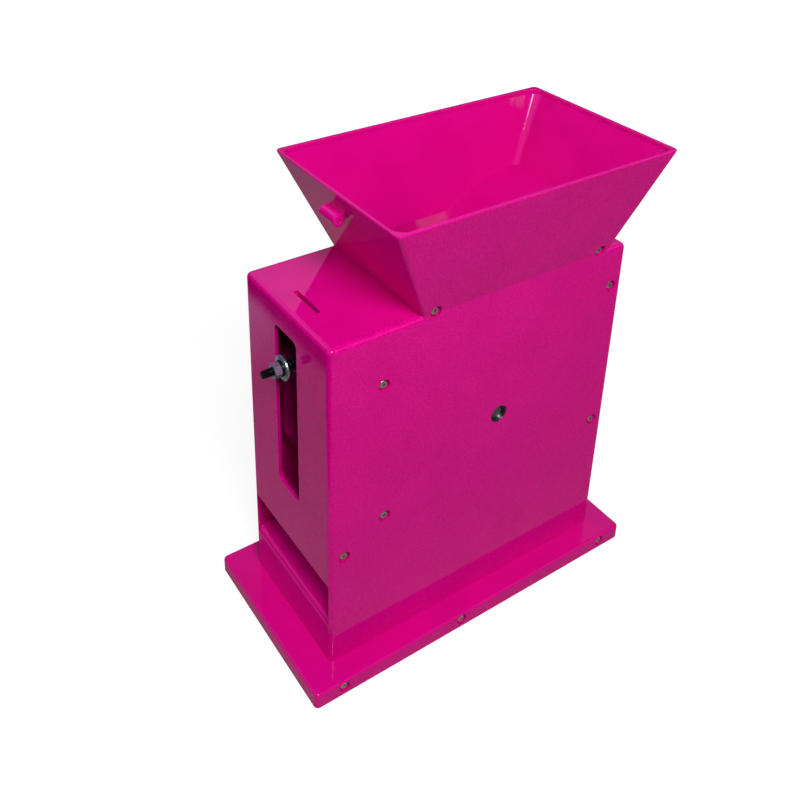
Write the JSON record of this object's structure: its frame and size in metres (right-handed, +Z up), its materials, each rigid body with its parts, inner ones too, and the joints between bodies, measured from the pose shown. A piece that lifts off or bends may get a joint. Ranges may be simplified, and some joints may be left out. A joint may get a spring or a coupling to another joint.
{
  "type": "lotus seed sheller",
  "caption": "Bench-top lotus seed sheller: glossy plastic box with a flared hopper on top, a sprung shoe set by a bolt in the end slot, an inner ribbed drum and an exit chute.",
  "frame": {"origin": "on the resting surface, under the middle of the base flange", "axes": "+Z up, +X along the broad faces from the exit end to the closed end, the front face with the screw heads towards -Y"},
  "size_m": [0.302, 0.151, 0.3665],
  "materials": {
    "housing_plastic": "gloss moulded, finely grained on the front",
    "zinc_steel": "zinc plated",
    "bright_steel": "ground",
    "black_steel": "black oxide",
    "bush_metal": "sintered, oiled",
    "drum_plastic": "moulded",
    "dark_rubber": "matte"
  },
  "bodies": {
    "housing": {"front_housing": "housing_plastic", "rear_housing": "housing_plastic", "housing_screws": "zinc_steel", "base_screws": "zinc_steel", "hopper_screws": "zinc_steel", "front_bush": "bush_metal", "rear_bush": "bush_metal", "adjusting_bolt": "black_steel"},
    "drum": {"drum_core": "drum_plastic", "drum_sleeve": "dark_rubber", "drum_shaft": "bright_steel", "shaft_key": "bright_steel", "shaft_clips": "black_steel", "drum_spacers": "drum_plastic"},
    "lever": {"pressure_lever": "bright_steel", "pressure_shoe": "housing_plastic", "shoe_lining": "dark_rubber", "shell_blades": "bright_steel", "lever_screws": "zinc_steel"},
    "washer": {"spring_washer": "zinc_steel", "lock_washer": "black_steel", "pressure_spring": "black_steel"},
    "nut": {"adjusting_nut": "zinc_steel"}
  },
  "joints": [
    {"name": "drum_spin", "type": "hinge", "parent": "housing", "child": "drum", "pos_m": [0.0172, 0, 0.178], "axis": [0, 1, 0], "continuous": true},
    {"name": "lever_swing", "type": "hinge", "parent": "housing", "child": "lever", "pos_m": [-0.111, 0, 0.282], "axis": [0, 1, 0], "range_deg": [0, 5], "stiffness_Nm_per_rad": 5.5, "springref_deg": -5.73, "deforming": ["pressure_spring"]},
    {"name": "washer_slide", "type": "slide", "parent": "housing", "child": "washer", "axis": [1, 0, 0], "range_m": [-0.005, 0.004], "deforming": ["pressure_spring"]},
    {"name": "nut_turn", "type": "hinge", "parent": "washer", "child": "nut", "pos_m": [-0.1357, 0, 0.242], "axis": [1, 0, 0], "range_deg": [-1800, 1440]}
  ],
  "couplings": [
    {"joint": "nut_turn", "follows": "washer_slide", "rad_per_m": 6283.2}
  ]
}
